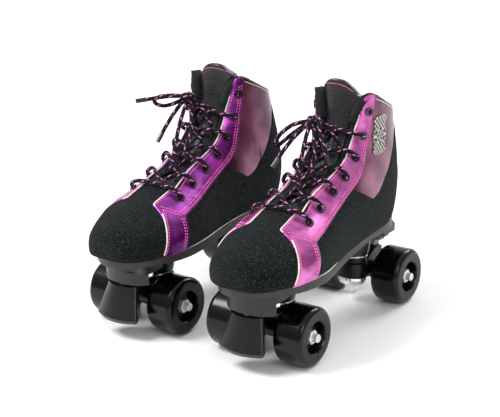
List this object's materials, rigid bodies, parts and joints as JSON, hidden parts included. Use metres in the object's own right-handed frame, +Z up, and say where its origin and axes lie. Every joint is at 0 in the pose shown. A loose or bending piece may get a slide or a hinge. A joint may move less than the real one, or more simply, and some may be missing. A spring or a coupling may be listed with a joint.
{
  "type": "pair of quad roller skates",
  "caption": "Pair of lace-up high boots on plates with sprung steering trucks, free-turning wheels, rubber toe stops, metallic eyestays and a tied lace bow.",
  "frame": {"origin": "on the floor under the middle of the pair, laces' free ends left out", "axes": "+Z up, toes towards -Y, the left skate on the +X side"},
  "size_m": [0.2604, 0.2738, 0.243],
  "materials": {
    "wheel": "glossy black polyurethane",
    "zinc": "zinc plated",
    "chrome": "polished",
    "casting": "dark satin casting",
    "plate": "satin moulded nylon",
    "cushion": "matt",
    "stop": "satin",
    "sole": "satin",
    "lining": "fuzzy pile",
    "suede": "brushed suede",
    "foil": "creased metallic foil",
    "strap": "metallic foil",
    "tongue": "perforated, soft",
    "eyelet": "blackened",
    "lace": "braided with pink dashes",
    "aglet": "clear coated",
    "badge": "embossed"
  },
  "bodies": {
    "left_skate": {"left_fasteners": "chrome", "left_plate": "plate", "left_toe_stop": "stop", "left_outsole": "sole", "left_lining": "lining", "left_vamp": "suede", "left_quarters": "suede", "left_collar": "foil", "left_eyestays": "strap", "left_tongue": "tongue", "left_eyelets": "eyelet", "left_laces": "lace", "left_bow_a": "lace", "left_bow_b": "lace", "left_aglets": "aglet", "left_badge": "badge", "left_rear_cushions": "cushion", "left_front_cushions": "cushion"},
    "left_rear_truck": {"left_rear_hanger": "casting", "left_rear_pivot": "zinc", "left_rear_axle": "zinc", "left_rear_bearings": "chrome"},
    "left_rear_outer_wheel": {"left_rear_outer_wheel": "wheel"},
    "left_rear_inner_wheel": {"left_rear_inner_wheel": "wheel"},
    "left_front_truck": {"left_front_hanger": "casting", "left_front_pivot": "zinc", "left_front_axle": "zinc", "left_front_bearings": "chrome"},
    "left_front_outer_wheel": {"left_front_outer_wheel": "wheel"},
    "left_front_inner_wheel": {"left_front_inner_wheel": "wheel"},
    "right_skate": {"right_fasteners": "chrome", "right_plate": "plate", "right_toe_stop": "stop", "right_outsole": "sole", "right_lining": "lining", "right_vamp": "suede", "right_quarters": "suede", "right_collar": "foil", "right_eyestays": "strap", "right_tongue": "tongue", "right_eyelets": "eyelet", "right_laces": "lace", "right_bow_a": "lace", "right_bow_b": "lace", "right_aglets": "aglet", "right_badge": "badge", "right_rear_cushions": "cushion", "right_front_cushions": "cushion"},
    "right_rear_truck": {"right_rear_hanger": "casting", "right_rear_pivot": "zinc", "right_rear_axle": "zinc", "right_rear_bearings": "chrome"},
    "right_rear_outer_wheel": {"right_rear_outer_wheel": "wheel"},
    "right_rear_inner_wheel": {"right_rear_inner_wheel": "wheel"},
    "right_front_truck": {"right_front_hanger": "casting", "right_front_pivot": "zinc", "right_front_axle": "zinc", "right_front_bearings": "chrome"},
    "right_front_outer_wheel": {"right_front_outer_wheel": "wheel"},
    "right_front_inner_wheel": {"right_front_inner_wheel": "wheel"}
  },
  "joints": [
    {"name": "right_skate_roll", "type": "slide", "parent": "left_skate", "child": "right_skate", "axis": [-0.0328, -0.9995, 0], "range_m": [-0.2, 0.2]},
    {"name": "left_rear_truck_steer", "type": "hinge", "parent": "left_skate", "child": "left_rear_truck", "pos_m": [0.07323, 0.08114, 0.038], "axis": [0, 0.8866, 0.4626], "range_deg": [-8, 8], "stiffness_Nm_per_rad": 40, "deforming": ["left_rear_cushions"]},
    {"name": "left_rear_outer_wheel_spin", "type": "hinge", "parent": "left_rear_truck", "child": "left_rear_outer_wheel", "pos_m": [0.11163, 0.10414, 0.029], "axis": [1, 0, 0], "continuous": true},
    {"name": "left_rear_inner_wheel_spin", "type": "hinge", "parent": "left_rear_truck", "child": "left_rear_inner_wheel", "pos_m": [0.03483, 0.10414, 0.029], "axis": [1, 0, 0], "continuous": true},
    {"name": "left_front_truck_steer", "type": "hinge", "parent": "left_skate", "child": "left_front_truck", "pos_m": [0.07323, -0.05286, 0.038], "axis": [0, -0.8866, 0.4626], "range_deg": [-8, 8], "stiffness_Nm_per_rad": 40, "deforming": ["left_front_cushions"]},
    {"name": "left_front_outer_wheel_spin", "type": "hinge", "parent": "left_front_truck", "child": "left_front_outer_wheel", "pos_m": [0.11163, -0.07586, 0.029], "axis": [1, 0, 0], "continuous": true},
    {"name": "left_front_inner_wheel_spin", "type": "hinge", "parent": "left_front_truck", "child": "left_front_inner_wheel", "pos_m": [0.03483, -0.07586, 0.029], "axis": [1, 0, 0], "continuous": true},
    {"name": "right_rear_truck_steer", "type": "hinge", "parent": "right_skate", "child": "right_rear_truck", "pos_m": [-0.06801, 0.07775, 0.038], "axis": [0.0291, 0.8861, 0.4626], "range_deg": [-8, 8], "stiffness_Nm_per_rad": 40, "deforming": ["right_rear_cushions"]},
    {"name": "right_rear_outer_wheel_spin", "type": "hinge", "parent": "right_rear_truck", "child": "right_rear_outer_wheel", "pos_m": [-0.10564, 0.102, 0.029], "axis": [0.9995, -0.0328, 0], "continuous": true},
    {"name": "right_rear_inner_wheel_spin", "type": "hinge", "parent": "right_rear_truck", "child": "right_rear_inner_wheel", "pos_m": [-0.02888, 0.09948, 0.029], "axis": [0.9995, -0.0328, 0], "continuous": true},
    {"name": "right_front_truck_steer", "type": "hinge", "parent": "right_skate", "child": "right_front_truck", "pos_m": [-0.07241, -0.05617, 0.038], "axis": [-0.0291, -0.8861, 0.4626], "range_deg": [-8, 8], "stiffness_Nm_per_rad": 40, "deforming": ["right_front_cushions"]},
    {"name": "right_front_outer_wheel_spin", "type": "hinge", "parent": "right_front_truck", "child": "right_front_outer_wheel", "pos_m": [-0.11154, -0.0779, 0.029], "axis": [0.9995, -0.0328, 0], "continuous": true},
    {"name": "right_front_inner_wheel_spin", "type": "hinge", "parent": "right_front_truck", "child": "right_front_inner_wheel", "pos_m": [-0.03478, -0.08042, 0.029], "axis": [0.9995, -0.0328, 0], "continuous": true}
  ]
}
